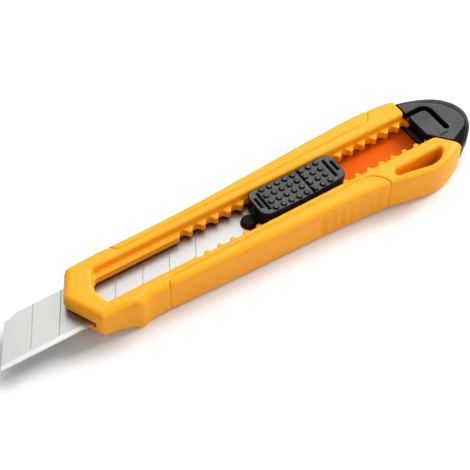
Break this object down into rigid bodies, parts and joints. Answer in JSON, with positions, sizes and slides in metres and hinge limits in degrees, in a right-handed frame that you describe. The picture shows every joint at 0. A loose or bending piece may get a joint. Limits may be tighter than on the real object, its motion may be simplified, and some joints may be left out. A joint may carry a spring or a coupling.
{
  "type": "snap-off utility knife",
  "caption": "Snap-off blade cutter with a yellow moulded housing, an open ratchet window, a black textured slider and a black end cap.",
  "frame": {"origin": "bottom centre of the bounding box, with the knife lying on its back", "axes": "+X along the knife from the blade tip to the tail, +Y towards the blade's spine, +Z out of the face with the slider"},
  "size_m": [0.1928, 0.0372, 0.0159],
  "materials": {
    "housing_yellow": "smooth satin-gloss moulded ABS",
    "cap_black": "glossy bevels with a matt top face",
    "blade_steel": "satin ground carbon steel",
    "slider_black": "matt moulded",
    "pad_black": "matt with round bumps"
  },
  "bodies": {
    "handle": {"housing": "housing_yellow"},
    "cap": {"end_cap": "cap_black"},
    "slider": {"blade": "blade_steel", "blade_carrier": "slider_black", "thumb_pad": "pad_black", "detent_leaf_spine": "slider_black", "detent_leaf_edge": "slider_black"}
  },
  "joints": [
    {"name": "slider_slide", "type": "slide", "parent": "handle", "child": "slider", "axis": [1, 0, 0], "range_m": [-0.02084, 0.03126], "deforming": ["detent_leaf_spine", "detent_leaf_edge"]},
    {"name": "cap_pull", "type": "slide", "parent": "handle", "child": "cap", "axis": [1, 0, 0], "range_m": [0, 0.02]}
  ]
}
